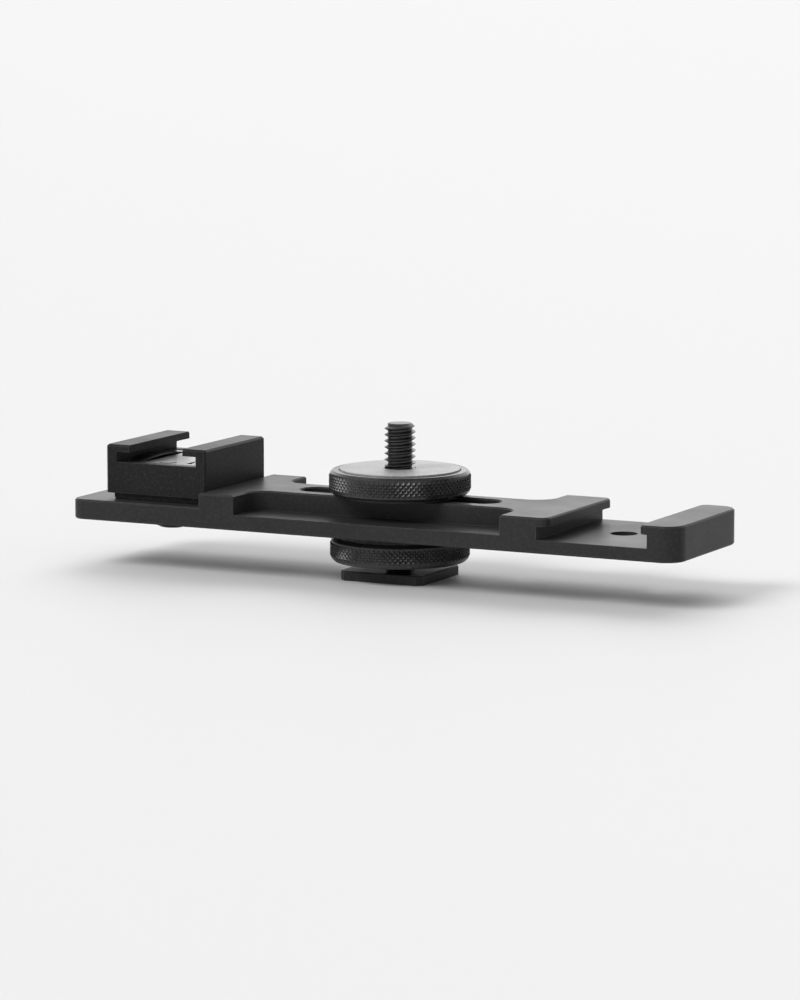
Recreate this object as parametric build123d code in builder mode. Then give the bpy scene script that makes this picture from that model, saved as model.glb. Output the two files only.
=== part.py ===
from build123d import *
import os

# Shoe-mount flash bar: a milled bar clamped between two knurled nuts on a
# 1/4 in stud.  The stud stands on a shoe foot, and a cold shoe is screwed to
# the bar's left end.  Millimetres, +X along the bar, +Y to the rear, +Z up.
# The origin is the middle of the foot's underside, on the stud's axis.

# ---------------------------------------------------------------- clearances
face_gap = 0.02  # between flat faces that turn or slide on each other
press_gap = 0.01  # radial, peened or screwed joints that never move
thread_clearance = 0.06  # radial, nut thread on the stud
washer_clearance = 0.08  # radial, washers and pad on the stud
seat_clearance = 0.10  # beside a piece that sits in a recess or on a shoulder
slot_clearance = 0.225  # each side of the stud, in the bar's slot
fixing_clearance = 0.25  # radial, fixing screws in the bar
shoe_play = 0.15  # a foot's width in its channel, in all
shoe_lift_play = 0.10  # a foot's thickness in its channel
cut_overrun = 1.0  # how far an open cut runs past the face it opens through

# --------------------------------------------------------- foot and its stud
foot_size = 18.6  # accessory shoe foot, square
foot_thickness = 2.0
foot_corner_chamfer = 1.2
foot_edge_break = 0.2
stud_diameter = 6.35  # 1/4 in
stud_flare_reach = 1.125  # peened end beyond the shank, flush with the foot's underside
stud_flare_depth = 1.0
stud_tip_chamfer = 0.8
stud_free_length = 9.2  # thread standing above the top pad
stud_relief_diameter = 5.0  # thread relief inside the pad, at the root diameter
stud_relief_height = 0.8

# ------------------------------------------------------------ clamping stack
shoe_lip_room = 1.6  # for the camera shoe's lips, under the lower nut
lower_nut_diameter = 28.6
lower_nut_height = 4.8
lower_nut_chamfer = 0.8
friction_washer_diameter = 26.4
friction_washer_thickness = 1.2
thrust_washer_diameter = 24.6
thrust_washer_thickness = 0.5
upper_nut_diameter = 29.0
upper_nut_height = 4.8
upper_nut_chamfer = 0.7
upper_nut_rim = 2.2  # metal left round the pad
pad_thickness = 0.9
pad_recess_depth = 0.6
pad_edge_break = 0.15

# ----------------------------------------------------------------------- bar
bar_length = 136.6
bar_width = 32.0
bar_height = 7.2
bar_edge_break = 0.3
wing_length = 8.0  # full-width deck at each end of the pockets
pocket_corner_radius = 4.5
ledge_thickness = 3.2  # under the two side pockets
rib_wall = 3.05  # each side of the slot
slot_end_web = 7.5  # from a pocket's end to the slot's end
seat_thickness = 4.2  # left end, under the cold shoe
seat_overhang = 6.7  # seat left bare beyond the cold shoe
seat_corner_radius = 2.5
end_channel_length = 23.8  # right end, along the bar
floor_thickness = 2.7  # floor of the end channel
undercut_height = 2.7
deck_lip = 2.3
stop_thickness = 6.5
stop_lip = 1.9
stop_corner_radius = 4.1
lip_corner_radius = 1.8

# ----------------------------------------------------------------- cold shoe
grip_pad_thickness = 1.3
grip_pad_inset = 0.9
shoe_setback = 3.25  # from the bar's edges to the block's faces
shoe_height = 10.1
shoe_wall = 2.375  # beside the channel
shoe_edge_break = 0.4
channel_lip = 1.5
channel_lip_reach = 3.075  # how far each lip covers the foot
leaf_side_room = 0.675
leaf_end_room = 2.1
leaf_thickness = 0.35
leaf_bed_depth = 0.5
leaf_arm_width = 3.0
leaf_arm_gap = 1.2  # between an arm and the riveted web
leaf_end_strip = 2.65  # joins the arms to the web
leaf_arm_rise = 0.55
rivet_setback = 3.15  # from the leaf's end
rivet_diameter = 2.0
rivet_length = 2.6
rivet_head_diameter = 3.6
rivet_head_height = 0.12
shoe_screw_diameter = 5.0
shoe_screw_roof = 1.5  # from the screw's tip to the leaf's bed
shoe_screw_hole_spare = 0.6  # hole left beyond the screw's tip
screw_head_overhang = 2.25  # of the head beyond the shank
screw_head_height = 2.75
screw_head_rim = 0.4
screw_head_flat_diameter = 4.6
screw_head_crown = 0.45
screw_socket_size = 3.0  # across the flats
screw_socket_depth = 1.6

# ------------------------------------------------------------- worked places
stud_radius = stud_diameter / 2
stud_flare_diameter = stud_diameter + 2 * stud_flare_reach
slot_width = stud_diameter + 2 * slot_clearance
pad_diameter = upper_nut_diameter - 2 * upper_nut_rim
lower_nut_bottom = foot_thickness + shoe_lip_room
friction_washer_bottom = lower_nut_bottom + lower_nut_height + face_gap
bar_bottom = friction_washer_bottom + friction_washer_thickness + face_gap
bar_top = bar_bottom + bar_height
thrust_washer_bottom = bar_top + face_gap
upper_nut_bottom = thrust_washer_bottom + thrust_washer_thickness + face_gap
upper_nut_top = upper_nut_bottom + upper_nut_height
pad_bottom = upper_nut_top - pad_recess_depth + face_gap
pad_top = pad_bottom + pad_thickness
stud_top = pad_top + stud_free_length

channel_width = foot_size + shoe_play
channel_height = foot_thickness + shoe_lift_play
channel_mouth = channel_width - 2 * channel_lip_reach
shoe_width = channel_width + 2 * shoe_wall
shoe_depth = bar_width - 2 * shoe_setback

bar_half_length = bar_length / 2
bar_half_width = bar_width / 2
rib_width = slot_width + 2 * rib_wall
pocket_depth = (bar_width - rib_width) / 2
stop_face_x = bar_half_length - stop_thickness
deck_left_x = -bar_half_length + shoe_width + seat_clearance + seat_overhang
deck_right_x = stop_face_x - end_channel_length
pocket_left_x = deck_left_x + wing_length
pocket_right_x = deck_right_x - wing_length
pocket_length = pocket_right_x - pocket_left_x
pocket_centre_x = (pocket_left_x + pocket_right_x) / 2
slot_length = pocket_length - 2 * slot_end_web
channel_opening = end_channel_length - stop_lip - deck_lip
lip_thickness = bar_height - floor_thickness - undercut_height
seat_top = bar_bottom + seat_thickness
floor_top = bar_bottom + floor_thickness
seat_centre_x = (deck_left_x - bar_half_length) / 2
floor_centre_x = (stop_face_x + deck_right_x) / 2
fixing_hole_diameter = shoe_screw_diameter + 2 * fixing_clearance

shoe_centre_x = deck_left_x - seat_clearance - shoe_width / 2
grip_pad_top = seat_top + grip_pad_thickness
shoe_top = grip_pad_top + shoe_height
channel_floor = shoe_top - channel_lip - channel_height
leaf_bottom = channel_floor - leaf_bed_depth
leaf_top = leaf_bottom + leaf_thickness
leaf_size_x = channel_width - 2 * leaf_side_room
leaf_size_y = shoe_depth - 2 * leaf_end_room
leaf_web_width = leaf_size_x - 2 * (leaf_arm_width + leaf_arm_gap)
leaf_arm_span = leaf_size_y - 2 * leaf_end_strip
rivet_spacing = leaf_size_y - 2 * rivet_setback
rivet_places = [(shoe_centre_x, side * rivet_spacing / 2) for side in (-1, 1)]
shoe_screw_tip = leaf_bottom - shoe_screw_roof
screw_head_diameter = shoe_screw_diameter + 2 * screw_head_overhang
screw_head_bottom = bar_bottom - screw_head_height

os.makedirs("parts", exist_ok=True)


def save(part, name):
    """Label a finished piece and write its STEP file."""
    part.label = name
    export_step(part, f"parts/{name}.step")


# ---------------------------------------------------------------- foot plate
# Square foot for an accessory shoe.  The stud's peened end fills the cone.
with BuildPart() as foot_plate:
    with BuildSketch():
        Rectangle(foot_size, foot_size)
    extrude(amount=foot_thickness)
    chamfer(foot_plate.edges().filter_by(Axis.Z), foot_corner_chamfer)
    chamfer(foot_plate.edges().group_by(Axis.Z)[-1], foot_edge_break)
    with BuildSketch(Plane.XZ):
        with BuildLine():
            Polyline(
                (0, 0),
                (stud_flare_diameter / 2 + press_gap, 0),
                (stud_radius + press_gap, stud_flare_depth),
                (stud_radius + press_gap, foot_thickness),
                (0, foot_thickness),
                close=True,
            )
        make_face()
    revolve(axis=Axis.Z, mode=Mode.SUBTRACT)
save(foot_plate.part, "foot_plate")

# -------------------------------------------------------------- threaded stud
with BuildPart() as threaded_stud:
    with BuildSketch(Plane.XZ):
        with BuildLine():
            Polyline(
                (0, 0),
                (stud_flare_diameter / 2, 0),
                (stud_radius, stud_flare_depth),
                (stud_radius, pad_top - stud_relief_height),
                (stud_relief_diameter / 2, pad_top - stud_relief_height),
                (stud_relief_diameter / 2, pad_top),
                (stud_radius, pad_top),
                (stud_radius, stud_top - stud_tip_chamfer),
                (stud_radius - stud_tip_chamfer, stud_top),
                (0, stud_top),
                close=True,
            )
        make_face()
    revolve(axis=Axis.Z)
save(threaded_stud.part, "threaded_stud")

# ------------------------------------------------------------------ lower nut
with BuildPart() as lower_nut:
    with BuildSketch(Plane.XY.offset(lower_nut_bottom)):
        Circle(lower_nut_diameter / 2)
        Circle(stud_radius + thread_clearance, mode=Mode.SUBTRACT)
    extrude(amount=lower_nut_height)
    lower_nut_rims = lower_nut.edges().filter_by(GeomType.CIRCLE).group_by(SortBy.RADIUS)[-1]
    chamfer(lower_nut_rims, lower_nut_chamfer)
save(lower_nut.part, "lower_nut")

# ------------------------------------------------------------ friction washer
with BuildPart() as friction_washer:
    with BuildSketch(Plane.XY.offset(friction_washer_bottom)):
        Circle(friction_washer_diameter / 2)
        Circle(stud_radius + washer_clearance, mode=Mode.SUBTRACT)
    extrude(amount=friction_washer_thickness)
save(friction_washer.part, "friction_washer")

# -------------------------------------------------------------- thrust washer
with BuildPart() as thrust_washer:
    with BuildSketch(Plane.XY.offset(thrust_washer_bottom)):
        Circle(thrust_washer_diameter / 2)
        Circle(stud_radius + washer_clearance, mode=Mode.SUBTRACT)
    extrude(amount=thrust_washer_thickness)
save(thrust_washer.part, "thrust_washer")

# ------------------------------------------------------------------ upper nut
with BuildPart() as upper_nut:
    with BuildSketch(Plane.XY.offset(upper_nut_bottom)):
        Circle(upper_nut_diameter / 2)
    extrude(amount=upper_nut_height)
    chamfer(upper_nut.edges().filter_by(GeomType.CIRCLE), upper_nut_chamfer)
    with BuildSketch(Plane.XY.offset(upper_nut_top)):
        Circle(pad_diameter / 2 + seat_clearance)
    extrude(amount=-pad_recess_depth, mode=Mode.SUBTRACT)
    with BuildSketch(Plane.XY.offset(upper_nut_bottom)):
        Circle(stud_radius + thread_clearance)
    extrude(amount=upper_nut_height, mode=Mode.SUBTRACT)
save(upper_nut.part, "upper_nut")

# -------------------------------------------------------------- accessory pad
with BuildPart() as accessory_pad:
    with BuildSketch(Plane.XY.offset(pad_bottom)):
        Circle(pad_diameter / 2)
        Circle(stud_radius + washer_clearance, mode=Mode.SUBTRACT)
    extrude(amount=pad_thickness)
    pad_rim = accessory_pad.edges().filter_by(GeomType.CIRCLE).group_by(Axis.Z)[-1]
    chamfer(pad_rim.sort_by(SortBy.RADIUS)[-1], pad_edge_break)
save(accessory_pad.part, "accessory_pad")

# ---------------------------------------------------------------- slotted bar
with BuildPart() as slotted_bar:
    # Full outline, with its four upright corners rounded
    with BuildSketch(Plane.XY.offset(bar_bottom)) as bar_outline:
        Rectangle(bar_length, bar_width)
        fillet(bar_outline.vertices().group_by(Axis.X)[-1], stop_corner_radius)
        fillet(bar_outline.vertices().group_by(Axis.X)[0], seat_corner_radius)
    extrude(amount=bar_height)

    # Low seat for the cold shoe, at the left end
    with BuildSketch(Plane.XY.offset(bar_top)):
        with Locations((-bar_half_length, 0)):
            Rectangle(bar_half_length + deck_left_x, bar_width, align=(Align.MIN, Align.CENTER))
    extrude(amount=seat_top - bar_top, mode=Mode.SUBTRACT)

    # Undercut channel across the right end, open above between its two lips
    with BuildSketch(Plane.XY.offset(floor_top)):
        with Locations((deck_right_x, 0)):
            Rectangle(end_channel_length, bar_width, align=(Align.MIN, Align.CENTER))
    extrude(amount=undercut_height, mode=Mode.SUBTRACT)
    with BuildSketch(Plane.XY.offset(bar_top)):
        with Locations((deck_right_x + deck_lip, 0)):
            Rectangle(channel_opening, bar_width, align=(Align.MIN, Align.CENTER))
    extrude(amount=floor_top - bar_top, mode=Mode.SUBTRACT)
    lip_tips = (
        slotted_bar.edges()
        .filter_by(Axis.Z)
        .filter_by_position(Axis.Z, bar_top - lip_thickness, bar_top)
        .filter_by_position(Axis.X, deck_right_x + deck_lip / 2, stop_face_x - stop_lip / 2)
    )
    fillet(lip_tips, min(lip_corner_radius, stop_lip - face_gap, deck_lip - face_gap))

    # Side pockets that leave the rib between the two wings
    with BuildSketch(Plane.XY.offset(bar_top)) as pockets:
        for side in (-1, 1):
            with Locations((pocket_centre_x, side * (rib_width + pocket_depth + cut_overrun) / 2)):
                Rectangle(pocket_length, pocket_depth + cut_overrun)
        inner_corners = [v for v in pockets.vertices() if abs(v.Y) < bar_half_width]
        fillet(inner_corners, pocket_corner_radius)
    extrude(amount=bar_bottom + ledge_thickness - bar_top, mode=Mode.SUBTRACT)

    # Slot for the stud, and the two fixing holes
    with BuildSketch(Plane.XY.offset(bar_bottom)):
        with Locations((pocket_centre_x, 0)):
            SlotOverall(slot_length, slot_width)
        with Locations((seat_centre_x, 0), (floor_centre_x, 0)):
            Circle(fixing_hole_diameter / 2)
    extrude(amount=bar_height, mode=Mode.SUBTRACT)

    # Broken edges all round the top and the underside
    chamfer(slotted_bar.edges().group_by(Axis.Z)[-1], bar_edge_break)
    chamfer(slotted_bar.edges().group_by(Axis.Z)[0], bar_edge_break)
    seat_rim = [
        e
        for e in slotted_bar.edges().filter_by_position(Axis.Z, seat_top, seat_top)
        if e.center().X < deck_left_x - bar_edge_break
    ]
    chamfer(seat_rim, bar_edge_break)
save(slotted_bar.part, "slotted_bar")

# ------------------------------------------------------------------- grip pad
with BuildPart() as grip_pad:
    with BuildSketch(Plane.XY.offset(seat_top)):
        with Locations((shoe_centre_x, 0)):
            Rectangle(shoe_width - 2 * grip_pad_inset, shoe_depth - 2 * grip_pad_inset)
        with Locations((seat_centre_x, 0)):
            Circle(fixing_hole_diameter / 2, mode=Mode.SUBTRACT)
    extrude(amount=grip_pad_thickness)
save(grip_pad.part, "grip_pad")

# ----------------------------------------------------------------- shoe block
with BuildPart() as shoe_block:
    with BuildSketch(Plane.XY.offset(grip_pad_top)):
        with Locations((shoe_centre_x, 0)):
            Rectangle(shoe_width, shoe_depth)
    extrude(amount=shoe_height)
    chamfer(shoe_block.edges().filter_by(Axis.Z), shoe_edge_break)
    chamfer(shoe_block.edges().group_by(Axis.Z)[-1], shoe_edge_break)
    # Tee channel from front to rear
    with BuildSketch(Plane.XZ):
        with Locations((shoe_centre_x, channel_floor)):
            Rectangle(channel_width, channel_height, align=(Align.CENTER, Align.MIN))
            Rectangle(channel_mouth, channel_height + channel_lip, align=(Align.CENTER, Align.MIN))
    extrude(amount=shoe_depth, both=True, mode=Mode.SUBTRACT)
    # Shallow bed for the leaf spring, two rivet holes and the tapped hole
    with BuildSketch(Plane.XY.offset(channel_floor)):
        with Locations((shoe_centre_x, 0)):
            Rectangle(leaf_size_x + 2 * seat_clearance, leaf_size_y + 2 * seat_clearance)
    extrude(amount=-leaf_bed_depth, mode=Mode.SUBTRACT)
    with BuildSketch(Plane.XY.offset(leaf_top - rivet_length)):
        with Locations(rivet_places):
            Circle(rivet_diameter / 2 + press_gap)
    extrude(amount=rivet_length, mode=Mode.SUBTRACT)
    with BuildSketch(Plane.XY.offset(grip_pad_top)):
        with Locations((seat_centre_x, 0)):
            Circle(shoe_screw_diameter / 2 + press_gap)
    extrude(amount=shoe_screw_tip + shoe_screw_hole_spare - grip_pad_top, mode=Mode.SUBTRACT)
save(shoe_block.part, "shoe_block")

# ------------------------------------------------------------------ shoe leaf
# Flat web riveted in its bed, with a bowed arm on each side that lifts a foot
with BuildPart() as shoe_leaf:
    with BuildSketch(Plane.XY.offset(leaf_bottom)):
        with Locations((shoe_centre_x, 0)):
            Rectangle(leaf_size_x, leaf_size_y)
            Rectangle(leaf_size_x, leaf_arm_span, mode=Mode.SUBTRACT)
            Rectangle(leaf_web_width, leaf_arm_span)
        with Locations(rivet_places):
            Circle(rivet_diameter / 2 + press_gap, mode=Mode.SUBTRACT)
    extrude(amount=leaf_thickness)
    for side in (-1, 1):
        arm_centre_x = shoe_centre_x + side * (leaf_size_x - leaf_arm_width) / 2
        with BuildSketch(Plane.YZ.offset(arm_centre_x - leaf_arm_width / 2)):
            with BuildLine():
                arm_underside = ThreePointArc(
                    (-leaf_arm_span / 2, leaf_bottom),
                    (0, leaf_bottom + leaf_arm_rise),
                    (leaf_arm_span / 2, leaf_bottom),
                )
                arm_topside = ThreePointArc(
                    (-leaf_arm_span / 2, leaf_top),
                    (0, leaf_top + leaf_arm_rise),
                    (leaf_arm_span / 2, leaf_top),
                )
                Line(arm_underside @ 0, arm_topside @ 0)
                Line(arm_underside @ 1, arm_topside @ 1)
            make_face()
        extrude(amount=leaf_arm_width)
save(shoe_leaf.part, "shoe_leaf")

# ---------------------------------------------------------------- leaf rivets
with BuildPart() as leaf_rivets:
    with BuildSketch(Plane.XY.offset(leaf_top)):
        with Locations(rivet_places):
            Circle(rivet_diameter / 2)
    extrude(amount=-rivet_length)
    with BuildSketch(Plane.XY.offset(leaf_top)):
        with Locations(rivet_places):
            Circle(rivet_head_diameter / 2)
    extrude(amount=rivet_head_height)
save(leaf_rivets.part, "leaf_rivets")

# ----------------------------------------------------------------- shoe screw
# Button head under the bar, shank up through the bar and pad into the block
with BuildPart() as shoe_screw:
    with BuildSketch(Plane(origin=(seat_centre_x, 0, 0), x_dir=(1, 0, 0), z_dir=(0, -1, 0))):
        with BuildLine():
            dome = SagittaArc(
                (screw_head_diameter / 2, bar_bottom - screw_head_rim),
                (screw_head_flat_diameter / 2, screw_head_bottom),
                screw_head_crown,
            )
            Polyline(
                dome @ 1,
                (0, screw_head_bottom),
                (0, shoe_screw_tip),
                (shoe_screw_diameter / 2, shoe_screw_tip),
                (shoe_screw_diameter / 2, bar_bottom),
                (screw_head_diameter / 2, bar_bottom),
                dome @ 0,
            )
        make_face()
    revolve(axis=Axis((seat_centre_x, 0, 0), (0, 0, 1)))
    with BuildSketch(Plane.XY.offset(screw_head_bottom)):
        with Locations((seat_centre_x, 0)):
            RegularPolygon(screw_socket_size / 2, 6, major_radius=False)
    extrude(amount=screw_socket_depth, mode=Mode.SUBTRACT)
save(shoe_screw.part, "shoe_screw")
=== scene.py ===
import logging
import math
from dataclasses import dataclass
from enum import Enum
from typing import Callable

import bpy
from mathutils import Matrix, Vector


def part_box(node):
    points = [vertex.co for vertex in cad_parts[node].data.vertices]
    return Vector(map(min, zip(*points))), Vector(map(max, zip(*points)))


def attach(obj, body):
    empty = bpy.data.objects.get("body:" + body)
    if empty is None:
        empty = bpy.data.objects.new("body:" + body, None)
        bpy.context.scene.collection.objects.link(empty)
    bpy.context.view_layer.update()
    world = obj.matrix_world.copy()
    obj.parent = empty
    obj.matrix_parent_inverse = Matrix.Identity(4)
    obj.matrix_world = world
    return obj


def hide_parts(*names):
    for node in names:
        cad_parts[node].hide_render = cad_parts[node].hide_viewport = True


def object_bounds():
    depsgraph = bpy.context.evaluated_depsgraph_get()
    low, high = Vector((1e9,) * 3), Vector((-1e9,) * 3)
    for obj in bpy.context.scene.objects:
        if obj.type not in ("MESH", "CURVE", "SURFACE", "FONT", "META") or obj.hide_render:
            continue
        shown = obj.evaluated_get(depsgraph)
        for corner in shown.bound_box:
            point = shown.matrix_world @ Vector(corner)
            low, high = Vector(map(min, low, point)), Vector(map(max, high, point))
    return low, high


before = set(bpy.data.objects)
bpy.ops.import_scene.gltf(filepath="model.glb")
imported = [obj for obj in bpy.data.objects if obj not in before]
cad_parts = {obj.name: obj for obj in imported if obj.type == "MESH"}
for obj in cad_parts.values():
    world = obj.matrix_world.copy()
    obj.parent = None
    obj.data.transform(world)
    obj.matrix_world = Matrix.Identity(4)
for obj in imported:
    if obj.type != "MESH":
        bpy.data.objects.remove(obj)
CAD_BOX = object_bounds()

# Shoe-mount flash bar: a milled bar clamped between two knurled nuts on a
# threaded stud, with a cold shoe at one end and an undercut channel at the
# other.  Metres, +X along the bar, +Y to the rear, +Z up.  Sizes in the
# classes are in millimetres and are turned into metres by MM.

MM = 0.001
WELD_DISTANCE = 1e-7  # metres
CUT_TOLERANCE = 1e-8  # metres, for a plane's cut
SCREW_X = -53.15  # mm along the bar, the shoe screw's axis
RIM_STEPS = 4  # facets round a softened rim
TURNED_FACETS = 96  # round a smooth turned piece
DUST_COLOUR = (0.42, 0.41, 0.40)
LOG = logging.getLogger("flash_bar")
Rings = list[tuple[float, float]]


# ------------------------------------------------------------ workshop tools
def clear_selection() -> None:
    """Leave edit mode and deselect every object."""
    if bpy.context.object and bpy.context.object.mode != "OBJECT":
        bpy.ops.object.mode_set(mode="OBJECT")
    bpy.ops.object.select_all(action="DESELECT")


def work_on(piece: bpy.types.Object) -> None:
    """Make one piece the only selected and active object."""
    clear_selection()
    piece.select_set(True)
    bpy.context.view_layer.objects.active = piece


def name_piece(name: str) -> bpy.types.Object:
    """Name the active object and put its place into its mesh.

    Args:
        name: The piece's name.

    Returns:
        The active object.
    """
    piece = bpy.context.object
    piece.name = name
    piece.data.name = name
    bpy.ops.object.transform_apply(location=True, rotation=True, scale=True)
    return piece


def pick(
    piece: bpy.types.Object,
    mode: str,
    wanted: Callable[[Vector, Vector], bool],
) -> None:
    """Select faces or edges of a piece in edit mode by their place.

    Args:
        piece: The object in edit mode.
        mode: "FACE" or "EDGE".
        wanted: Told the middle in mm, and a face's normal or an edge's run in mm.
    """
    bpy.ops.mesh.select_mode(type=mode)
    bpy.ops.mesh.select_all(action="DESELECT")
    bpy.ops.object.mode_set(mode="OBJECT")
    mesh = piece.data
    if mode == "FACE":
        for face in mesh.polygons:
            face.select = wanted(face.center / MM, face.normal)
    else:
        for edge in mesh.edges:
            start, end = (mesh.vertices[i].co / MM for i in edge.vertices)
            edge.select = wanted((start + end) / 2, end - start)
    bpy.ops.object.mode_set(mode="EDIT")


def close_up(piece: bpy.types.Object, angle_deg: float = 30.0) -> None:
    """Weld a piece, turn its faces outwards and smooth its soft edges.

    Args:
        piece: The finished mesh.
        angle_deg: Edges sharper than this stay crisp.
    """
    work_on(piece)
    bpy.ops.object.mode_set(mode="EDIT")
    bpy.ops.mesh.select_all(action="SELECT")
    bpy.ops.mesh.remove_doubles(threshold=WELD_DISTANCE)
    bpy.ops.mesh.normals_make_consistent(inside=False)
    bpy.ops.object.mode_set(mode="OBJECT")
    bpy.ops.object.shade_smooth_by_angle(angle=math.radians(angle_deg))


def turn_on_lathe(
    name: str, rings: Rings, segments: int, centre_x: float = 0.0
) -> bpy.types.Object:
    """Turn a section round an upright axis, ring by ring.

    Args:
        name: The piece's name.
        rings: (radius, height) round the section. It closes on itself when
            its last ring equals its first, and else both ends are capped.
        segments: Facets round the axis.
        centre_x: Where the axis stands along the bar.

    Returns:
        The turned piece, welded.
    """
    clear_selection()
    first_radius, first_height = rings[0]
    bpy.ops.mesh.primitive_circle_add(
        vertices=segments,
        radius=first_radius * MM,
        location=(centre_x * MM, 0, first_height * MM),
    )
    piece = name_piece(name)
    bpy.ops.object.mode_set(mode="EDIT")
    bpy.ops.mesh.select_mode(type="EDGE")
    bpy.ops.mesh.select_all(action="SELECT")
    hollow = rings[-1] == rings[0]
    if not hollow:
        bpy.ops.mesh.edge_face_add()
        bpy.ops.mesh.select_mode(type="EDGE")
    for (r_from, z_from), (r_to, z_to) in zip(rings, rings[1:]):
        bpy.ops.mesh.extrude_edges_move(
            TRANSFORM_OT_translate={"value": (0, 0, (z_to - z_from) * MM)}
        )
        bpy.ops.transform.resize(
            value=(r_to / r_from, r_to / r_from, 1),
            center_override=(centre_x * MM, 0, z_to * MM),
        )
    if not hollow:
        bpy.ops.mesh.edge_face_add()
    close_up(piece)
    return piece


def combine(piece: bpy.types.Object, tool: bpy.types.Object, operation: str) -> None:
    """Cut, keep or add a tool's shape, and throw the tool away.

    Args:
        piece: The mesh that is kept.
        tool: The mesh that cuts or is added.
        operation: "DIFFERENCE", "INTERSECT" or "UNION".
    """
    work_on(piece)
    cut = piece.modifiers.new(operation.lower(), "BOOLEAN")
    cut.operation = operation
    cut.solver = "EXACT"
    cut.object = tool
    bpy.ops.object.modifier_apply(modifier=cut.name)
    bpy.data.objects.remove(tool, do_unlink=True)


def rounded(r_in: float, r_out: float, z_low: float, z_high: float, soft: float) -> Rings:
    """Section of a flat ring with rounded outer edges, closed on itself.

    Args:
        r_in: Inner radius in mm.
        r_out: Outer radius in mm.
        z_low: Height of the underside in mm.
        z_high: Height of the top in mm.
        soft: Radius of the rounded edges in mm.

    Returns:
        The section's rings.
    """
    rings: Rings = [(r_in, z_low)]
    for corner_z, start in ((z_low + soft, -90.0), (z_high - soft, 0.0)):
        for step in range(RIM_STEPS + 1):
            angle = math.radians(start + 90.0 * step / RIM_STEPS)
            radius = r_out - soft + soft * math.cos(angle)
            rings.append((radius, corner_z + soft * math.sin(angle)))
    return rings + [(r_in, z_high), (r_in, z_low)]


def node_levels(node: str) -> tuple[float, float]:
    """Lowest and highest height of a CAD node, in mm."""
    low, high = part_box(node)
    return low[2] / MM, high[2] / MM


def node_radius(node: str) -> float:
    """Half the width of a CAD node across the bar, in mm."""
    low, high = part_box(node)
    return (high[1] - low[1]) / 2 / MM


# ------------------------------------------------------------- node groups
class GroupMaker:
    """Builds a shader node group and wires its inside."""

    def __init__(self, name: str, inputs: dict[str, float], outputs: list[str]) -> None:
        """Start a group.

        Args:
            name: The group's name.
            inputs: Each number socket and its usual value.
            outputs: The number sockets that it puts out.
        """
        self.tree = bpy.data.node_groups.new(name, "ShaderNodeTree")
        new_socket = self.tree.interface.new_socket
        number = "NodeSocketFloat"
        for label, value in inputs.items():
            socket = new_socket(label, in_out="INPUT", socket_type=number)
            socket.default_value = value
        for label in outputs:
            new_socket(label, in_out="OUTPUT", socket_type=number)
        self.entry = self.tree.nodes.new("NodeGroupInput")
        self.exit = self.tree.nodes.new("NodeGroupOutput")

    def node(self, kind: str, **settings: object) -> bpy.types.Node:
        """Add a node and set its properties."""
        made = self.tree.nodes.new(kind)
        for key, value in settings.items():
            setattr(made, key, value)
        return made

    def wire(self, source: bpy.types.NodeSocket, target: bpy.types.NodeSocket) -> None:
        """Join two sockets."""
        self.tree.links.new(source, target)

    def maths(
        self, operation: str, first: object, second: object = None, third: object = None
    ) -> bpy.types.NodeSocket:
        """Add a Math node whose operands are sockets or numbers.

        Args:
            operation: Blender's name for it.
            first: First operand.
            second: Second operand, if any.
            third: Third operand, if any.

        Returns:
            The result's socket.
        """
        made = self.node("ShaderNodeMath", operation=operation)
        for slot, operand in enumerate((first, second, third)):
            if isinstance(operand, bpy.types.NodeSocket):
                self.wire(operand, made.inputs[slot])
            elif operand is not None:
                made.inputs[slot].default_value = operand
        return made.outputs[0]

    def place(self) -> bpy.types.NodeSocket:
        """Object coordinates."""
        return self.node("ShaderNodeTexCoord").outputs["Object"]

    def noise(
        self,
        vector: bpy.types.NodeSocket,
        scale: object,
        detail: float,
        roughness: float = 0.5,
    ) -> bpy.types.NodeSocket:
        """Noise from 0 to 1 at a place.

        Args:
            vector: Where it is read.
            scale: Socket or number, in waves a metre.
            detail: Octaves.
            roughness: How strong the finer octaves are.

        Returns:
            The value's socket.
        """
        made = self.node("ShaderNodeTexNoise")
        self.wire(vector, made.inputs["Vector"])
        if isinstance(scale, bpy.types.NodeSocket):
            self.wire(scale, made.inputs["Scale"])
        else:
            made.inputs["Scale"].default_value = scale
        made.inputs["Detail"].default_value = detail
        made.inputs["Roughness"].default_value = roughness
        return made.outputs["Fac"]

    def ramp(self, value: bpy.types.NodeSocket, low: float, high: float) -> bpy.types.NodeSocket:
        """Stretch low..high to 0..1 and stop there."""
        made = self.node("ShaderNodeMapRange", clamp=True)
        self.wire(value, made.inputs["Value"])
        made.inputs["From Min"].default_value = low
        made.inputs["From Max"].default_value = high
        return made.outputs["Result"]


def waves_per_metre(group: GroupMaker) -> bpy.types.NodeSocket:
    """The group's Size in mm as a noise scale."""
    return group.maths("DIVIDE", 1.0 / MM, group.entry.outputs["Size"])


def make_grain_group() -> bpy.types.NodeTree:
    """Blasted or moulded skin: fine pits, and a soft cloud over them."""
    group = GroupMaker("surface_grain", {"Size": 0.25}, ["Height", "Tone"])
    scale = waves_per_metre(group)
    place = group.place()
    fine = group.noise(place, scale, detail=2.0, roughness=0.55)
    coarse_scale = group.maths("MULTIPLY", scale, 0.31)
    coarse = group.noise(place, coarse_scale, detail=2.0)
    height = group.maths("MULTIPLY_ADD", coarse, 0.45, fine)
    cloud = group.noise(place, scale=55.0, detail=3.0)
    group.wire(height, group.exit.inputs["Height"])
    group.wire(group.ramp(cloud, low=0.3, high=0.7), group.exit.inputs["Tone"])
    return group.tree


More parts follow.
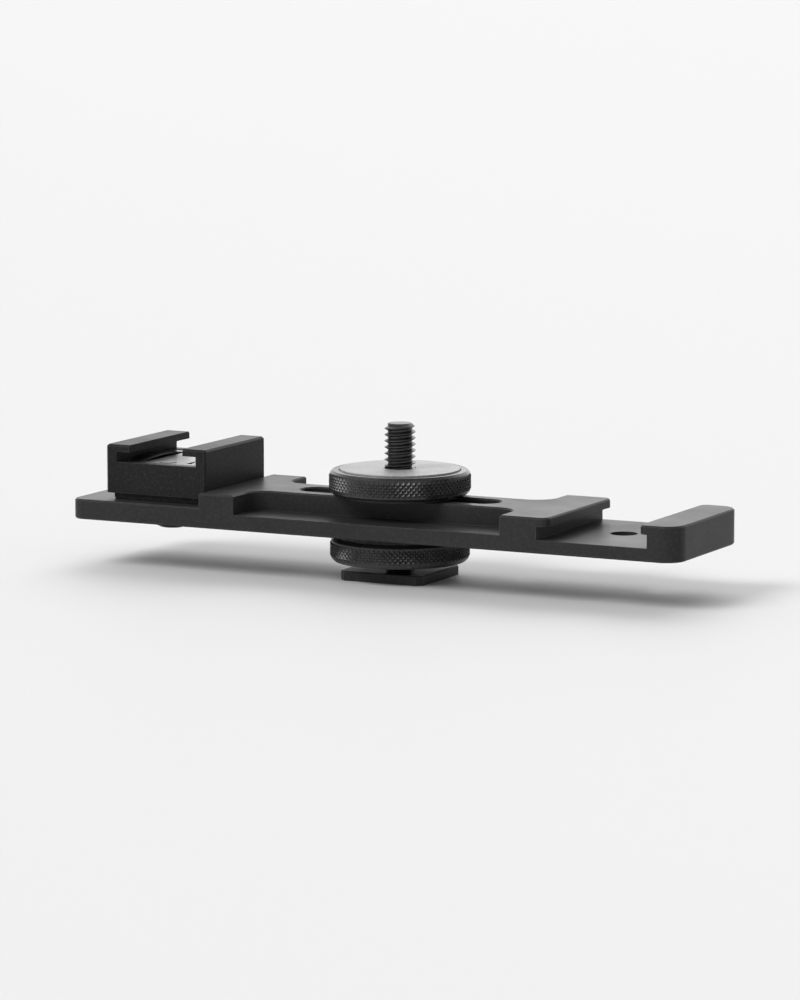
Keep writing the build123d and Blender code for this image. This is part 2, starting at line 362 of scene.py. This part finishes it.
def make_lathe_group() -> bpy.types.NodeTree:
    """Turning rings round an upright axis, uneven from ring to ring."""
    group = GroupMaker("lathe_rings", {"Size": 0.18, "Centre X": 0.0}, ["Height", "Tone"])
    place = group.place()
    parts = group.node("ShaderNodeSeparateXYZ")
    group.wire(place, parts.inputs[0])
    east, north, up = parts.outputs
    centre = group.maths("MULTIPLY", group.entry.outputs["Centre X"], MM)
    across = group.maths("SUBTRACT", east, centre)
    across_squared = group.maths("MULTIPLY", across, across)
    north_squared = group.maths("MULTIPLY", north, north)
    radius = group.maths("SQRT", group.maths("ADD", across_squared, north_squared))
    joined = group.node("ShaderNodeCombineXYZ")
    group.wire(radius, joined.inputs["X"])
    group.wire(up, joined.inputs["Z"])
    scale = waves_per_metre(group)
    rings = group.noise(joined.outputs[0], scale, detail=2.0, roughness=0.6)
    group.wire(rings, group.exit.inputs["Height"])
    cloud = group.noise(place, scale=90.0, detail=2.0)
    group.wire(group.ramp(cloud, low=0.3, high=0.7), group.exit.inputs["Tone"])
    return group.tree


def make_brush_group() -> bpy.types.NodeTree:
    """Rolling lines along the strip, from front to rear."""
    group = GroupMaker("rolled_lines", {"Size": 0.12}, ["Height", "Tone"])
    parts = group.node("ShaderNodeSeparateXYZ")
    group.wire(group.place(), parts.inputs[0])
    east, north, up = parts.outputs
    stretched = group.maths("MULTIPLY", north, 0.03)
    joined = group.node("ShaderNodeCombineXYZ")
    for source, axis in ((east, "X"), (stretched, "Y"), (up, "Z")):
        group.wire(source, joined.inputs[axis])
    scale = waves_per_metre(group)
    lines = group.noise(joined.outputs[0], scale, detail=3.0, roughness=0.65)
    group.wire(lines, group.exit.inputs["Height"])
    group.wire(group.ramp(lines, low=0.35, high=0.65), group.exit.inputs["Tone"])
    return group.tree


def make_speckle_group() -> bpy.types.NodeTree:
    """Granules pressed together: each with its own tone and a low seam round it."""
    group = GroupMaker("pressed_granules", {"Size": 0.7}, ["Height", "Tone"])
    scale = waves_per_metre(group)
    place = group.place()
    cells = group.node("ShaderNodeTexVoronoi", feature="F1")
    group.wire(place, cells.inputs["Vector"])
    group.wire(scale, cells.inputs["Scale"])
    tint = group.node("ShaderNodeSeparateColor")
    group.wire(cells.outputs["Color"], tint.inputs[0])
    seam = group.node("ShaderNodeTexVoronoi", feature="DISTANCE_TO_EDGE")
    group.wire(place, seam.inputs["Vector"])
    group.wire(scale, seam.inputs["Scale"])
    tone = tint.outputs[0]
    rise = group.ramp(seam.outputs["Distance"], low=0.0, high=0.12)
    height = group.maths("MULTIPLY_ADD", rise, 0.6, tone)
    group.wire(height, group.exit.inputs["Height"])
    group.wire(tone, group.exit.inputs["Tone"])
    return group.tree


def make_wear_group() -> bpy.types.NodeTree:
    """Rubbed edges: full on sharp corners, broken up by patches of handling."""
    group = GroupMaker("rubbed_edges", {"Reach": 0.35, "Patch": 4.0}, ["Mask"])
    soft = group.node("ShaderNodeBevel", samples=4)
    reach = group.maths("MULTIPLY", group.entry.outputs["Reach"], MM)
    group.wire(reach, soft.inputs["Radius"])
    true = group.node("ShaderNodeNewGeometry")
    facing = group.node("ShaderNodeVectorMath", operation="DOT_PRODUCT")
    group.wire(soft.outputs["Normal"], facing.inputs[0])
    group.wire(true.outputs["Normal"], facing.inputs[1])
    turned_away = group.maths("SUBTRACT", 1.0, facing.outputs["Value"])
    bare = group.ramp(turned_away, low=0.015, high=0.16)
    scale = group.maths("DIVIDE", 1.0 / MM, group.entry.outputs["Patch"])
    cloud = group.noise(group.place(), scale, detail=5.0, roughness=0.65)
    patch = group.ramp(cloud, low=0.35, high=0.68)
    group.wire(group.maths("MULTIPLY", bare, patch), group.exit.inputs["Mask"])
    return group.tree


def make_handling_group() -> bpy.types.NodeTree:
    """Faint smears and dust that change how dull the skin is."""
    group = GroupMaker("handling_marks", {"Size": 14.0}, ["Smear", "Dust"])
    scale = waves_per_metre(group)
    place = group.place()
    smear = group.noise(place, scale, detail=4.0, roughness=0.55)
    group.wire(group.ramp(smear, low=0.32, high=0.7), group.exit.inputs["Smear"])
    speck_scale = group.maths("MULTIPLY", scale, 22.0)
    specks = group.noise(place, speck_scale, detail=2.0)
    group.wire(group.ramp(specks, low=0.45, high=0.85), group.exit.inputs["Dust"])
    return group.tree


class Texture(Enum):
    """The pattern that a finish carries, and the node group that draws it."""

    GRAIN = "surface_grain"
    LATHE = "lathe_rings"
    ROLLED = "rolled_lines"
    GRANULES = "pressed_granules"


GROUP_MAKERS = {
    "surface_grain": make_grain_group,
    "lathe_rings": make_lathe_group,
    "rolled_lines": make_brush_group,
    "pressed_granules": make_speckle_group,
    "rubbed_edges": make_wear_group,
    "handling_marks": make_handling_group,
}


def shared_group(name: str) -> bpy.types.NodeTree:
    """The node group of that name, built the first time it is asked for."""
    return bpy.data.node_groups.get(name) or GROUP_MAKERS[name]()


# ---------------------------------------------------------------- finishes
@dataclass(frozen=True)
class Finish:
    """One surface finish, as a plater or moulder would order it."""

    name: str
    dark: tuple[float, float, float]
    light: tuple[float, float, float]
    roughness: float
    texture: Texture
    texture_size: float  # mm
    relief: float  # mm
    roughness_spread: float = 0.10
    metallic: float = 0.0
    specular: float = 0.5
    ior: float = 1.5
    sheen: float = 0.0
    wear: float = 0.0
    wear_colour: tuple[float, float, float] = (0.30, 0.30, 0.31)
    wear_reach: float = 0.35  # mm
    dust: float = 0.04
    turning_centre: float = 0.0  # mm along the bar

    def place_group(
        self, tree: bpy.types.NodeTree, group: str, values: dict[str, float]
    ) -> bpy.types.Node:
        """Put a shared node group in a material.

        Args:
            tree: The material's tree.
            group: The group's name.
            values: Its input values.

        Returns:
            The group's node.
        """
        made = tree.nodes.new("ShaderNodeGroup")
        made.node_tree = shared_group(group)
        for label, value in values.items():
            made.inputs[label].default_value = value
        return made

    def material(self) -> bpy.types.Material:
        """The finish as a node material, made once."""
        known = bpy.data.materials.get("finish_" + self.name)
        if known:
            return known
        made = bpy.data.materials.new("finish_" + self.name)
        made.use_nodes = True
        made.diffuse_color = (*self.light, 1.0)
        tree = made.node_tree
        link = tree.links.new
        shader = tree.nodes["Principled BSDF"]
        shader.inputs["Metallic"].default_value = self.metallic
        shader.inputs["Specular IOR Level"].default_value = self.specular
        shader.inputs["IOR"].default_value = self.ior
        shader.inputs["Sheen Weight"].default_value = self.sheen
        shader.inputs["Sheen Roughness"].default_value = 0.6
        values = {"Size": self.texture_size}
        if self.texture is Texture.LATHE:
            values["Centre X"] = self.turning_centre
        skin = self.place_group(tree, self.texture.value, values)
        marks = self.place_group(tree, "handling_marks", {})
        colour = self.mix_colour(tree, skin.outputs["Tone"], self.dark, self.light)
        colour = self.layer(tree, colour, marks.outputs["Dust"], self.dust, DUST_COLOUR)
        rough = tree.nodes.new("ShaderNodeMapRange")
        link(marks.outputs["Smear"], rough.inputs["Value"])
        rough.inputs["To Min"].default_value = self.roughness - self.roughness_spread
        rough.inputs["To Max"].default_value = self.roughness + self.roughness_spread
        if self.wear:
            edges = self.place_group(tree, "rubbed_edges", {"Reach": self.wear_reach})
            colour = self.layer(tree, colour, edges.outputs["Mask"], self.wear, self.wear_colour)
        link(colour, shader.inputs["Base Color"])
        link(rough.outputs["Result"], shader.inputs["Roughness"])
        bump = tree.nodes.new("ShaderNodeBump")
        bump.inputs["Strength"].default_value = 1.0
        bump.inputs["Distance"].default_value = self.relief * MM
        link(skin.outputs["Height"], bump.inputs["Height"])
        link(bump.outputs["Normal"], shader.inputs["Normal"])
        return made

    def mix_colour(
        self,
        tree: bpy.types.NodeTree,
        factor: bpy.types.NodeSocket,
        low: tuple[float, float, float],
        high: tuple[float, float, float],
    ) -> bpy.types.NodeSocket:
        """Mix two colours by a mask.

        Args:
            tree: The material's tree.
            factor: The mask.
            low: Colour where the mask is 0.
            high: Colour where it is 1.

        Returns:
            The mixed colour's socket.
        """
        mix = tree.nodes.new("ShaderNodeMix")
        mix.data_type = "RGBA"
        tree.links.new(factor, mix.inputs["Factor"])
        mix.inputs[6].default_value = (*low, 1.0)
        mix.inputs[7].default_value = (*high, 1.0)
        return mix.outputs[2]

    def layer(
        self,
        tree: bpy.types.NodeTree,
        below: bpy.types.NodeSocket,
        mask: bpy.types.NodeSocket,
        amount: float,
        colour: tuple[float, float, float],
    ) -> bpy.types.NodeSocket:
        """Lay a colour over what is below it, as far as a mask says.

        Args:
            tree: The material's tree.
            below: The colour underneath.
            mask: Where the layer lies.
            amount: How much of it covers where the mask is 1.
            colour: The layer's colour.

        Returns:
            The covered colour's socket.
        """
        share = tree.nodes.new("ShaderNodeMath")
        share.operation = "MULTIPLY"
        tree.links.new(mask, share.inputs[0])
        share.inputs[1].default_value = amount
        mix = tree.nodes.new("ShaderNodeMix")
        mix.data_type = "RGBA"
        tree.links.new(share.outputs[0], mix.inputs["Factor"])
        tree.links.new(below, mix.inputs[6])
        mix.inputs[7].default_value = (*colour, 1.0)
        return mix.outputs[2]


BLASTED_BLACK = Finish(
    "blasted_black_anodise", (0.027, 0.027, 0.0275), (0.036, 0.036, 0.0365), 0.37,
    Texture.GRAIN, 0.30, 0.008, ior=1.22, wear=0.30, roughness_spread=0.05,
)
BLOCK_BLACK = Finish(
    "shoe_block_anodise", (0.016, 0.016, 0.0165), (0.022, 0.022, 0.0225), 0.40,
    Texture.GRAIN, 0.28, 0.008, ior=1.18, wear=0.22, roughness_spread=0.05,
)
KNURLED_BLACK = Finish(
    "knurled_black_anodise", (0.011, 0.011, 0.0115), (0.018, 0.018, 0.0185), 0.30,
    Texture.LATHE, 0.22, 0.012, ior=1.50, wear=0.45, wear_reach=0.18,
)
BLACK_OXIDE = Finish(
    "black_oxide_steel", (0.045, 0.044, 0.044), (0.075, 0.073, 0.072), 0.34,
    Texture.LATHE, 0.10, 0.004, metallic=0.85,
    wear=0.5, wear_colour=(0.42, 0.41, 0.40), wear_reach=0.12,
)
SCREW_OXIDE = Finish(
    "black_oxide_screw", (0.040, 0.039, 0.039), (0.070, 0.068, 0.067), 0.38,
    Texture.LATHE, 0.12, 0.005, metallic=0.85,
    wear=0.4, wear_colour=(0.36, 0.35, 0.34), wear_reach=0.2, turning_centre=SCREW_X,
)
SPRING_STEEL = Finish(
    "rolled_spring_steel", (0.17, 0.17, 0.168), (0.24, 0.24, 0.236), 0.36,
    Texture.ROLLED, 0.14, 0.003, metallic=1.0, dust=0.02,
)
MATT_RUBBER = Finish(
    "matt_rubber", (0.012, 0.012, 0.012), (0.020, 0.020, 0.020), 0.78,
    Texture.GRAIN, 0.35, 0.03, specular=0.3, sheen=0.15, dust=0.10,
)
NYLON = Finish(
    "black_nylon", (0.016, 0.016, 0.016), (0.024, 0.024, 0.024), 0.5,
    Texture.GRAIN, 0.5, 0.006, specular=0.4,
)
PALE_GRANULES = Finish(
    "pale_granule_pad", (0.29, 0.29, 0.295), (0.38, 0.38, 0.385), 0.50,
    Texture.GRANULES, 0.40, 0.008, specular=0.5, sheen=0.08, dust=0.02,
)


def dress_node(node: str, finish: Finish) -> None:
    """Give a CAD node its finish, and keep its shape.

    Args:
        node: The CAD node.
        finish: What it is finished in.
    """
    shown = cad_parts[node]
    for slot in shown.material_slots:
        slot.material = finish.material()
    LOG.info("dressed %s in %s", node, finish.name)


def fit_piece(
    piece: bpy.types.Object, node: str, body: str, finish: Finish
) -> None:
    """Let a modelled piece stand for a CAD node.

    Args:
        piece: The modelled piece.
        node: The CAD node it stands for.
        body: The body it rides on.
        finish: What it is finished in.
    """
    piece.data.materials.clear()
    piece.data.materials.append(finish.material())
    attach(piece, body)
    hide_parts(node)
    faces = len(piece.data.polygons)
    LOG.info("fitted %s: %d faces, rides on %s", piece.name, faces, body)


# ---------------------------------------------------------- sub-assemblies
@dataclass
class FootAndStud:
    """Shoe foot with its 1/4 in threaded stud."""

    radius: float = 3.175
    pitch: float = 1.27
    depth_in_pitches: float = 0.5413
    crest_gap: float = 0.015
    steps: int = 60
    spare_turns: int = 4
    rod_bottom: float = 0.2
    rod_top_trim: float = 0.3
    blank_skin: float = 0.01
    flare_radius: float = 4.3
    flare_break: float = 0.05
    flare_height: float = 1.0
    flare_cone: float = 0.7
    flare_overlap: float = 0.2
    tip_chamfer: float = 0.8

    def thread_blank(self, crest: float, turns: int) -> bpy.types.Object:
        """Sweep one tooth up a right-hand helix and close its ends.

        Args:
            crest: Crest radius in mm.
            turns: Whole turns of thread.

        Returns:
            A closed threaded rod that starts one pitch under the foot.
        """
        pitch = self.pitch
        depth = self.depth_in_pitches * pitch
        root = crest - depth
        tooth = [
            (root, 0.0),
            (root, pitch / 8),
            (root + depth / 2, pitch * 9 / 32),
            (crest, pitch * 7 / 16),
            (crest, pitch * 9 / 16),
            (root + depth / 2, pitch * 23 / 32),
            (root, pitch * 7 / 8),
            (root, pitch),
        ]
        clear_selection()
        bpy.ops.mesh.primitive_plane_add(size=MM, location=(root * MM, 0, -pitch * MM))
        rod = name_piece("thread_rod")
        bpy.ops.object.mode_set(mode="EDIT")
        bpy.ops.mesh.select_mode(type="VERT")
        bpy.ops.mesh.select_all(action="SELECT")
        bpy.ops.mesh.merge(type="CENTER")
        for (r_from, z_from), (r_to, z_to) in zip(tooth, tooth[1:]):
            bpy.ops.mesh.extrude_vertices_move(
                TRANSFORM_OT_translate={
                    "value": ((r_to - r_from) * MM, 0, (z_to - z_from) * MM)
                }
            )
        bpy.ops.object.mode_set(mode="OBJECT")
        sweep = rod.modifiers.new("helix", "SCREW")
        sweep.axis = "Z"
        sweep.angle = math.tau
        sweep.screw_offset = pitch * MM
        sweep.iterations = turns
        sweep.steps = self.steps
        sweep.render_steps = self.steps
        bpy.ops.object.modifier_apply(modifier=sweep.name)
        bpy.ops.object.mode_set(mode="EDIT")
        bpy.ops.mesh.select_all(action="SELECT")
        bpy.ops.mesh.remove_doubles(threshold=10 * WELD_DISTANCE)
        top = (turns - 1) * pitch - self.rod_top_trim
        for height, up in ((top, True), (self.rod_bottom, False)):
            bpy.ops.mesh.select_all(action="SELECT")
            bpy.ops.mesh.bisect(
                plane_co=(0, 0, height * MM),
                plane_no=(0, 0, 1),
                use_fill=True,
                threshold=CUT_TOLERANCE,
                clear_outer=up,
                clear_inner=not up,
            )
        bpy.ops.object.mode_set(mode="OBJECT")
        close_up(rod)
        return rod

    def stud(self) -> bpy.types.Object:
        """The stud: thread cut to length, chamfered tip and peened end."""
        _, top = node_levels("threaded_stud")
        crest = self.radius - self.crest_gap
        skin = crest + self.blank_skin
        foot = self.flare_height * 0.6
        rod = self.thread_blank(crest, int(top / self.pitch) + self.spare_turns)
        blank = turn_on_lathe(
            "stud_blank",
            [
                (crest * 0.98, foot),
                (skin, foot + self.blank_skin),
                (skin, top - self.tip_chamfer),
                (crest - self.tip_chamfer, top),
            ],
            TURNED_FACETS,
        )
        combine(rod, blank, "INTERSECT")
        flare = turn_on_lathe(
            "stud_flare",
            [
                (self.flare_radius - self.flare_break, 0.0),
                (self.flare_radius, self.flare_break * 0.6),
                (crest, self.flare_height),
                (crest - self.flare_cone, self.flare_height + self.flare_overlap),
            ],
            TURNED_FACETS,
        )
        combine(rod, flare, "UNION")
        rod.name = rod.data.name = "stud_thread"
        close_up(rod, angle_deg=24.0)
        return rod

    def build(self) -> None:
        """Build the stud and dress the foot."""
        fit_piece(self.stud(), "threaded_stud", "foot_and_stud", BLACK_OXIDE)
        dress_node("foot_plate", BLASTED_BLACK)


@dataclass
class KnurledNut:
    """A round clamping nut with a diamond knurl between two chamfers."""

    node: str
    body: str
    bore_radius: float = 3.235
    recess_radius: float = 0.0
    recess_depth: float = 0.6
    chamfer: float = 0.7
    edge_break: float = 0.12
    edge_drop: float = 0.05
    knurl_relief: float = 0.24
    knurl_margin: float = 0.02
    knurl_columns: int = 84
    knurl_rows: int = 3
    knurl_flat: float = 0.10
    bore_chamfer: float = 0.5

    def skin_radius(self) -> float:
        """Radius in mm of the band before the diamonds are raised on it."""
        return node_radius(self.node) - self.knurl_relief - self.knurl_margin

    def section(self) -> Rings:
        """The nut's section, from the bore round the outside and back."""
        low, high = node_levels(self.node)
        skin = self.skin_radius()
        rim = node_radius(self.node) - self.chamfer
        rise = skin - rim
        band_low, band_high = low + self.chamfer, high - self.chamfer
        rings: Rings = [
            (self.bore_radius, high - self.recess_depth - self.bore_chamfer),
            (self.bore_radius, low + self.bore_chamfer),
            (self.bore_radius + self.bore_chamfer, low),
            (rim - self.edge_break, low),
            (rim, low + self.edge_drop),
            (skin, low + rise + self.edge_drop),
        ]
        for row in range(self.knurl_rows + 1):
            rings.append((skin, band_low + (band_high - band_low) * row / self.knurl_rows))
        rings += [
            (skin, high - rise - self.edge_drop),
            (rim, high - self.edge_drop),
            (rim - self.edge_break, high),
        ]
        floor = high
        if self.recess_radius:
            floor = high - self.recess_depth
            rings += [
                (self.recess_radius + self.edge_break, high),
                (self.recess_radius, high - self.edge_break),
                (self.recess_radius, floor),
            ]
        rings += [
            (self.bore_radius + self.bore_chamfer, floor),
            (self.bore_radius, floor - self.bore_chamfer),
        ]
        if not self.recess_radius:
            rings[0] = rings[-1]
        return rings

    def knurl(self, nut: bpy.types.Object) -> None:
        """Roll the diamonds into the band: split it in crossed cells, then raise each one.

        Args:
            nut: The turned nut.
        """
        low, high = node_levels(self.node)
        skin = self.skin_radius()
        band_low, band_high = low + self.chamfer, high - self.chamfer

        def on_band(middle: Vector, margin: float) -> bool:
            near_skin = math.hypot(middle.x, middle.y) > skin - 0.06
            return near_skin and band_low - margin < middle.z < band_high + margin

        work_on(nut)
        bpy.ops.object.mode_set(mode="EDIT")
        pick(nut, "FACE", lambda middle, normal: on_band(middle, -0.01) and abs(normal.z) < 0.1)
        bpy.ops.mesh.poke()
        row = (band_high - band_low) / self.knurl_rows
        column = math.tau * skin / self.knurl_columns

        def on_grid(middle: Vector, run: Vector) -> bool:
            if not on_band(middle, -0.01):
                return False
            flat = math.hypot(run.x, run.y)
            upright = flat < 0.05 and abs(run.z) > row * 0.9
            level = abs(run.z) < 0.01 and flat > column * 0.9
            return upright or level

        pick(nut, "EDGE", on_grid)
        bpy.ops.mesh.dissolve_edges(use_verts=False)
        half = min(row, column) * 0.5 * 0.7071
        inner = row * 0.45
        pick(
            nut,
            "FACE",
            lambda middle, normal: on_band(middle, -inner) and abs(normal.z) < 0.15,
        )
        bpy.ops.mesh.inset(
            thickness=(half - self.knurl_flat) * MM,
            depth=self.knurl_relief * MM,
            use_individual=True,
            use_even_offset=True,
        )
        bpy.ops.object.mode_set(mode="OBJECT")

    def build(self) -> None:
        """Turn the nut, knurl it and fit it."""
        nut = turn_on_lathe(self.node + "_knurled", self.section(), self.knurl_columns)
        self.knurl(nut)
        close_up(nut, angle_deg=22.0)
        fit_piece(nut, self.node, self.body, KNURLED_BLACK)


@dataclass
class ClampPads:
    """The soft and slippery rings between the nuts and the bar, and the top pad."""

    stud_hole_radius: float = 3.255
    washer_soft: float = 0.35
    pad_soft: float = 0.16

    def build(self) -> None:
        """Build the friction washer and the accessory pad, and dress the thrust washer."""
        low, high = node_levels("friction_washer")
        washer = turn_on_lathe(
            "friction_washer_rubber",
            rounded(
                self.stud_hole_radius, node_radius("friction_washer"), low, high, self.washer_soft
            ),
            TURNED_FACETS,
        )
        fit_piece(washer, "friction_washer", "washer", MATT_RUBBER)
        low, high = node_levels("accessory_pad")
        pad = turn_on_lathe(
            "accessory_pad_granules",
            rounded(
                self.stud_hole_radius, node_radius("accessory_pad"), low, high, self.pad_soft
            ),
            TURNED_FACETS,
        )
        fit_piece(pad, "accessory_pad", "pad", PALE_GRANULES)
        dress_node("thrust_washer", NYLON)


@dataclass
class BarAndShoe:
    """The milled bar with its cold shoe, rubber pad, leaf spring and screw."""

    corner: float = 1.2
    bulge: float = 0.4
    screw_hole_radius: float = 2.75
    drill_overrun: float = 1.0
    drill_facets: int = 48

    def grip_pad(self) -> bpy.types.Object:
        """Thin rubber pad under the cold shoe, squeezed out a little at its edges."""
        low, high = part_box("grip_pad")
        centre, size = (low + high) / 2, high - low
        clear_selection()
        bpy.ops.mesh.primitive_cube_add(size=1.0, location=centre, scale=size)
        pad = name_piece("grip_pad_rubber")
        bpy.ops.object.mode_set(mode="EDIT")
        pick(pad, "EDGE", lambda middle, run: abs(run.z) > 0.5)
        bpy.ops.mesh.bevel(offset=self.corner * MM, segments=6, affect="EDGES")
        rim_x, rim_y = (size.x / 2 - 1e-4) / MM, (size.y / 2 - 1e-4) / MM
        middle_x = centre.x / MM

        def on_rim(middle: Vector, run: Vector) -> bool:
            level = abs(run.z) < 0.01
            end = abs(middle.x - middle_x) > rim_x - self.corner
            side = abs(middle.y) > rim_y - self.corner
            return level and (end or side)

        pick(pad, "EDGE", on_rim)
        bpy.ops.mesh.bevel(offset=self.bulge * MM, segments=4, affect="EDGES")
        bpy.ops.object.mode_set(mode="OBJECT")
        low_z, high_z = low.z / MM, high.z / MM
        drill = turn_on_lathe(
            "pad_drill",
            [
                (self.screw_hole_radius, low_z - self.drill_overrun),
                (self.screw_hole_radius, high_z + self.drill_overrun),
            ],
            self.drill_facets,
            SCREW_X,
        )
        combine(pad, drill, "DIFFERENCE")
        close_up(pad)
        return pad

    def build(self) -> None:
        """Build the pad, and dress the bar, block, leaf, rivets and screw."""
        fit_piece(self.grip_pad(), "grip_pad", "bar", MATT_RUBBER)
        dress_node("slotted_bar", BLASTED_BLACK)
        dress_node("shoe_block", BLOCK_BLACK)
        dress_node("shoe_leaf", SPRING_STEEL)
        dress_node("leaf_rivets", SPRING_STEEL)
        dress_node("shoe_screw", SCREW_OXIDE)


@dataclass
class Studio:
    """Pale floor, soft lights and the camera."""

    azimuth: float = 26.7
    elevation: float = 8.2
    distance: float = 0.95
    lens: float = 168.0
    floor_size: float = 80.0
    floor_grey: float = 0.73
    surround: float = 0.36
    glow: float = 1.55
    bright_side: tuple[float, float, float] = (-0.43, 0.86, 0.27)

    def floor(self) -> None:
        """Lay the plain pale floor."""
        clear_selection()
        bpy.ops.mesh.primitive_plane_add(size=self.floor_size, location=(0, 0, 0))
        sheet = name_piece("studio_floor")
        pale = bpy.data.materials.new("studio_floor")
        pale.use_nodes = True
        shader = pale.node_tree.nodes["Principled BSDF"]
        shader.inputs["Base Color"].default_value = (*[self.floor_grey] * 3, 1.0)
        shader.inputs["Roughness"].default_value = 0.65
        shader.inputs["Specular IOR Level"].default_value = 0.2
        sheet.data.materials.append(pale)

    def soft_light(
        self, name: str, place: tuple[float, float, float], spread_deg: float, strength: float
    ) -> None:
        """Hang a far, broad light that faces the bar and lights the floor evenly.

        Args:
            name: The light's name.
            place: Which way it hangs.
            spread_deg: How broad it looks from the bar, in degrees.
            strength: In watts a square metre.
        """
        light = bpy.data.lights.new(name, "SUN")
        light.angle = math.radians(spread_deg)
        light.energy = strength
        hung = bpy.data.objects.new(name, light)
        bpy.context.scene.collection.objects.link(hung)
        hung.location = place
        hung.rotation_euler = Vector(place).to_track_quat("Z", "Y").to_euler()

    def lights(self) -> None:
        """Set the surround, brighter behind the bar, and the two soft lights."""
        world = bpy.data.worlds.new("studio")
        world.use_nodes = True
        tree = world.node_tree
        surround = tree.nodes["Background"]
        surround.inputs["Color"].default_value = (1.0, 1.0, 1.0, 1.0)
        bpy.context.scene.world = world
        sky = tree.nodes.new("ShaderNodeTexCoord").outputs["Generated"]
        towards = tree.nodes.new("ShaderNodeVectorMath")
        towards.operation = "DOT_PRODUCT"
        towards.inputs[1].default_value = self.bright_side
        glow = tree.nodes.new("ShaderNodeMapRange")
        glow.interpolation_type = "SMOOTHSTEP"
        glow.inputs["From Min"].default_value = 0.45
        glow.inputs["From Max"].default_value = 0.95
        glow.inputs["To Min"].default_value = self.surround
        glow.inputs["To Max"].default_value = self.glow
        tree.links.new(sky, towards.inputs[0])
        tree.links.new(towards.outputs["Value"], glow.inputs["Value"])
        tree.links.new(glow.outputs["Result"], surround.inputs["Strength"])
        self.soft_light("key", (-0.55, -0.75, 0.95), spread_deg=32.0, strength=1.75)
        self.soft_light("back", (-0.2, 0.9, 0.9), spread_deg=45.0, strength=0.80)

    def camera(self) -> None:
        """Stand the camera in its place."""
        low, high = CAD_BOX
        target = (low + high) / 2
        turn, tilt = math.radians(self.azimuth), math.radians(self.elevation)
        level = math.cos(tilt)
        back = Vector((math.sin(turn) * level, -math.cos(turn) * level, math.sin(tilt)))
        lens = bpy.data.cameras.new("camera")
        lens.lens = self.lens
        lens.clip_start = 0.05
        lens.clip_end = 50.0
        stand = bpy.data.objects.new("camera", lens)
        bpy.context.scene.collection.objects.link(stand)
        stand.location = target + back * self.distance
        stand.rotation_euler = (-back).to_track_quat("-Z", "Y").to_euler()
        bpy.context.scene.camera = stand

    def build(self) -> None:
        """Set up the whole studio."""
        self.floor()
        self.lights()
        self.camera()
        bpy.context.scene.view_settings.view_transform = "Standard"


def main() -> None:
    """Build the sub-assemblies from the foot up, then the studio."""
    logging.basicConfig(level=logging.INFO, format="%(name)s: %(message)s")
    FootAndStud().build()
    KnurledNut("lower_nut", "lower_nut", chamfer=0.8, recess_depth=0.0).build()
    KnurledNut("upper_nut", "upper_nut", recess_radius=12.4).build()
    ClampPads().build()
    BarAndShoe().build()
    Studio().build()


if __name__ == "__main__":
    main()
